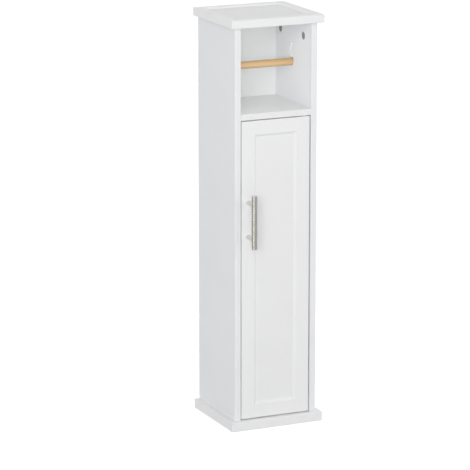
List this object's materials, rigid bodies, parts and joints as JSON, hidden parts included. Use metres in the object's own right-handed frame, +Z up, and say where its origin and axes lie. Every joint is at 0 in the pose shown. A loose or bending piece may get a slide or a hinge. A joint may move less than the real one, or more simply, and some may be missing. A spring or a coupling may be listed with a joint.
{
  "type": "toilet roll storage cabinet",
  "caption": "Slim white free-standing cabinet with a tray top, an open roll compartment with a lift-out wooden bar, and a tall hinged door over a lower store.",
  "frame": {"origin": "centre of the base panel's underside, on the floor", "axes": "+Z up, +X to the right seen from the front, +Y towards the back; the door and its handle face -Y"},
  "size_m": [0.185, 0.198, 0.77],
  "materials": {
    "white_board": "white painted fibreboard, satin, with eased edges",
    "white_back_board": "white faced thin fibreboard, satin",
    "handle_steel": "warm brushed nickel",
    "screw_steel": "bright zinc-plated steel",
    "cam_zinc": "dark die-cast zinc, satin",
    "white_nylon": "white moulded nylon",
    "dark_ferrite": "dull dark ferrite",
    "pale_wood": "pale bamboo, clear satin lacquer",
    "dowel_wood": "raw beech"
  },
  "bodies": {
    "cabinet": {"top_panel": "white_board", "base_panel": "white_board", "left_side_panel": "white_board", "right_side_panel": "white_board", "back_panel": "white_back_board", "middle_shelf": "white_board", "upper_hinge_bush": "white_nylon", "lower_hinge_bush": "white_nylon", "catch_housing": "white_nylon", "catch_magnet": "dark_ferrite", "catch_pole_plates": "screw_steel", "catch_screws": "screw_steel", "top_cam_locks": "cam_zinc", "top_cam_bolts": "screw_steel", "top_dowels": "dowel_wood", "shelf_cam_locks": "cam_zinc", "shelf_cam_bolts": "screw_steel", "shelf_dowels": "dowel_wood", "base_cam_locks": "cam_zinc", "base_cam_bolts": "screw_steel", "base_dowels": "dowel_wood"},
    "door": {"door_panel": "white_board", "handle_bar": "handle_steel", "handle_posts": "handle_steel", "handle_screws": "screw_steel", "upper_hinge_pin": "screw_steel", "lower_hinge_pin": "screw_steel", "strike_plate": "screw_steel", "strike_screw": "screw_steel"},
    "roll_bar": {"roll_bar": "pale_wood"}
  },
  "joints": [
    {"name": "door_hinge", "type": "hinge", "parent": "cabinet", "child": "door", "pos_m": [0.059, -0.0715, 0.3], "axis": [0, 0, 1], "range_deg": [0, 120]},
    {"name": "roll_bar_lift", "type": "slide", "parent": "cabinet", "child": "roll_bar", "axis": [0, 0, 1], "range_m": [0, 0.03]}
  ]
}
